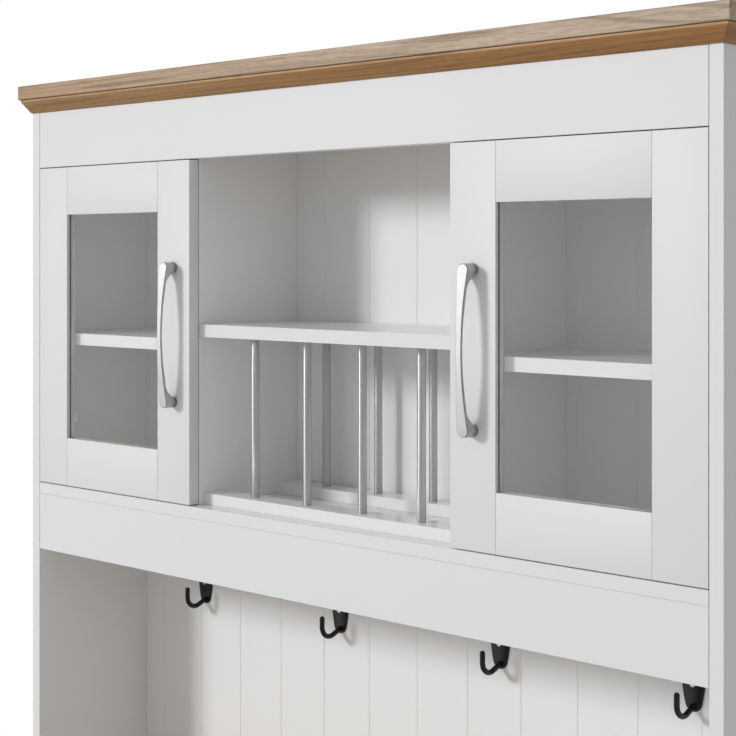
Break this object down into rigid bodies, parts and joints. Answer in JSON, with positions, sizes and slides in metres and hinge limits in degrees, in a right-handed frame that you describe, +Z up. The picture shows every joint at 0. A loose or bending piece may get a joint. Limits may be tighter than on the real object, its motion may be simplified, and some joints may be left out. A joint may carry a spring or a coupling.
{
  "type": "kitchen buffet with glazed hutch",
  "caption": "White kitchen buffet with oak tops: glazed hutch with plate rack and cup hooks over a base with panelled doors and drawers.",
  "frame": {"origin": "centre of the overall box, on the floor", "axes": "+X to the right as seen from the front, +Y to the back, +Z up"},
  "size_m": [1.1642, 0.425, 2],
  "materials": {
    "white_board": "satin white lacquer",
    "oak": "matt oiled oak",
    "clear_glass": "polished",
    "dark_seal": "matt",
    "satin_metal": "satin",
    "nickel_steel": "nickel plated",
    "black_enamel": "satin black",
    "runner_steel": "grey powder coat",
    "drawer_board": "matt white foil",
    "glide_plastic": "matt"
  },
  "bodies": {
    "cabinet": {"base_back_panel": "white_board", "base_bottom_board": "white_board", "base_partition_left": "white_board", "base_partition_right": "white_board", "base_plinth": "white_board", "base_shelves": "white_board", "base_side_left": "white_board", "base_side_right": "white_board", "base_stretchers": "white_board", "centre_shelf": "white_board", "crown_board": "oak", "crown_moulding": "oak", "cup_hooks": "black_enamel", "drawer_runners": "runner_steel", "floor_glides": "glide_plastic", "hinge_arms": "nickel_steel", "hook_screws": "nickel_steel", "hutch_back_panel": "white_board", "hutch_floor_board": "white_board", "hutch_frieze": "white_board", "hutch_partition_left": "white_board", "hutch_partition_right": "white_board", "hutch_side_left": "white_board", "hutch_side_right": "white_board", "hutch_side_shelves": "white_board", "hutch_top_panel": "oak", "niche_rail": "white_board", "rack_rods": "satin_metal", "rack_strip_front": "white_board", "rack_strip_rear": "white_board", "shelf_pins": "nickel_steel", "worktop": "oak"},
    "hutch_door_left": {"hutch_door_left_frame": "white_board", "hutch_door_left_glass": "clear_glass", "hutch_door_left_handle": "satin_metal", "hutch_door_left_hinge_cups": "nickel_steel", "hutch_door_left_seal": "dark_seal"},
    "hutch_door_right": {"hutch_door_right_frame": "white_board", "hutch_door_right_glass": "clear_glass", "hutch_door_right_handle": "satin_metal", "hutch_door_right_hinge_cups": "nickel_steel", "hutch_door_right_seal": "dark_seal"},
    "base_door_left": {"base_door_left_frame": "white_board", "base_door_left_handle": "satin_metal", "base_door_left_hinge_cups": "nickel_steel", "base_door_left_panel": "white_board"},
    "base_door_right": {"base_door_right_frame": "white_board", "base_door_right_handle": "satin_metal", "base_door_right_hinge_cups": "nickel_steel", "base_door_right_panel": "white_board"},
    "drawer_bottom": {"drawer_bottom_box": "drawer_board", "drawer_bottom_front": "white_board", "drawer_bottom_handle": "satin_metal"},
    "drawer_middle": {"drawer_middle_box": "drawer_board", "drawer_middle_front": "white_board", "drawer_middle_handle": "satin_metal"},
    "drawer_top": {"drawer_top_box": "drawer_board", "drawer_top_front": "white_board", "drawer_top_handle": "satin_metal"}
  },
  "joints": [
    {"name": "hutch_door_left_hinge", "type": "hinge", "parent": "cabinet", "child": "hutch_door_left", "pos_m": [-0.54985, 0.0045, 1.6535], "axis": [0, 0, -1], "range_deg": [0, 100]},
    {"name": "hutch_door_right_hinge", "type": "hinge", "parent": "cabinet", "child": "hutch_door_right", "pos_m": [0.54985, 0.0045, 1.6535], "axis": [0, 0, 1], "range_deg": [0, 100]},
    {"name": "base_door_left_hinge", "type": "hinge", "parent": "cabinet", "child": "base_door_left", "pos_m": [-0.54985, -0.1875, 0.4615], "axis": [0, 0, -1], "range_deg": [0, 100]},
    {"name": "base_door_right_hinge", "type": "hinge", "parent": "cabinet", "child": "base_door_right", "pos_m": [0.54985, -0.1875, 0.4615], "axis": [0, 0, 1], "range_deg": [0, 100]},
    {"name": "drawer_bottom_slide", "type": "slide", "parent": "cabinet", "child": "drawer_bottom", "axis": [0, -1, 0], "range_m": [0, 0.25]},
    {"name": "drawer_middle_slide", "type": "slide", "parent": "cabinet", "child": "drawer_middle", "axis": [0, -1, 0], "range_m": [0, 0.25]},
    {"name": "drawer_top_slide", "type": "slide", "parent": "cabinet", "child": "drawer_top", "axis": [0, -1, 0], "range_m": [0, 0.25]}
  ]
}
